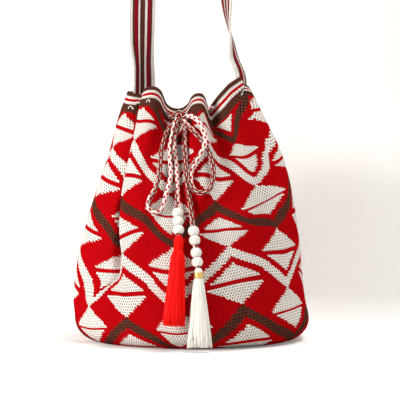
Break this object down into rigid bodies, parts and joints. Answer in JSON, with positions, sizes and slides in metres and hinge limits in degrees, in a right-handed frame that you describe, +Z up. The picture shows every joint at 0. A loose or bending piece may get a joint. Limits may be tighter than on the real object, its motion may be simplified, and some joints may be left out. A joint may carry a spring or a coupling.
{
  "type": "crocheted drawstring bucket bag",
  "caption": "Crocheted bucket bag with a zigzag and diamond pattern, gathered at the mouth by a braided drawstring bow with beads and tassels, and a long woven shoulder strap.",
  "frame": {"origin": "middle of the round base, on the surface that the bag stands on", "axes": "+Z up from the base to the strap, +X to the right as seen from the front, the bow and tassels face -Y"},
  "size_m": [0.2809, 0.2991, 0.7413],
  "materials": {
    "crochet": "matte crochet in red, cream and brown",
    "strap_weave": "matte woven stripes in brown, cream and red",
    "braided_cord": "matte braid, cream with red and brown flecks",
    "bead": "satin white",
    "red_thread": "silky thread",
    "white_thread": "silky thread",
    "gold_band": "polished gold colour"
  },
  "bodies": {
    "bag": {"bag_body": "crochet", "shoulder_strap": "strap_weave", "drawstring": "braided_cord", "left_bow_loop": "braided_cord", "right_bow_loop": "braided_cord", "red_cord_end": "braided_cord", "white_cord_end": "braided_cord", "bow_knot": "braided_cord", "red_bead_top": "bead", "red_bead_middle": "bead", "red_bead_bottom": "bead", "white_bead_1": "bead", "white_bead_2": "bead", "white_bead_3": "bead", "white_bead_4": "bead"},
    "red_tassel": {"red_tassel_skirt": "red_thread", "red_tassel_binding": "red_thread"},
    "white_tassel": {"white_tassel_skirt": "white_thread", "white_tassel_band": "gold_band"}
  },
  "joints": [
    {"name": "red_tassel_swing", "type": "hinge", "parent": "bag", "child": "red_tassel", "pos_m": [-0.01225, -0.13545, 0.1222], "axis": [-1, 0, 0], "range_deg": [0, 60]},
    {"name": "white_tassel_swing", "type": "hinge", "parent": "bag", "child": "white_tassel", "pos_m": [0.00913, -0.14346, 0.08692], "axis": [-1, 0, 0], "range_deg": [0, 60]}
  ]
}
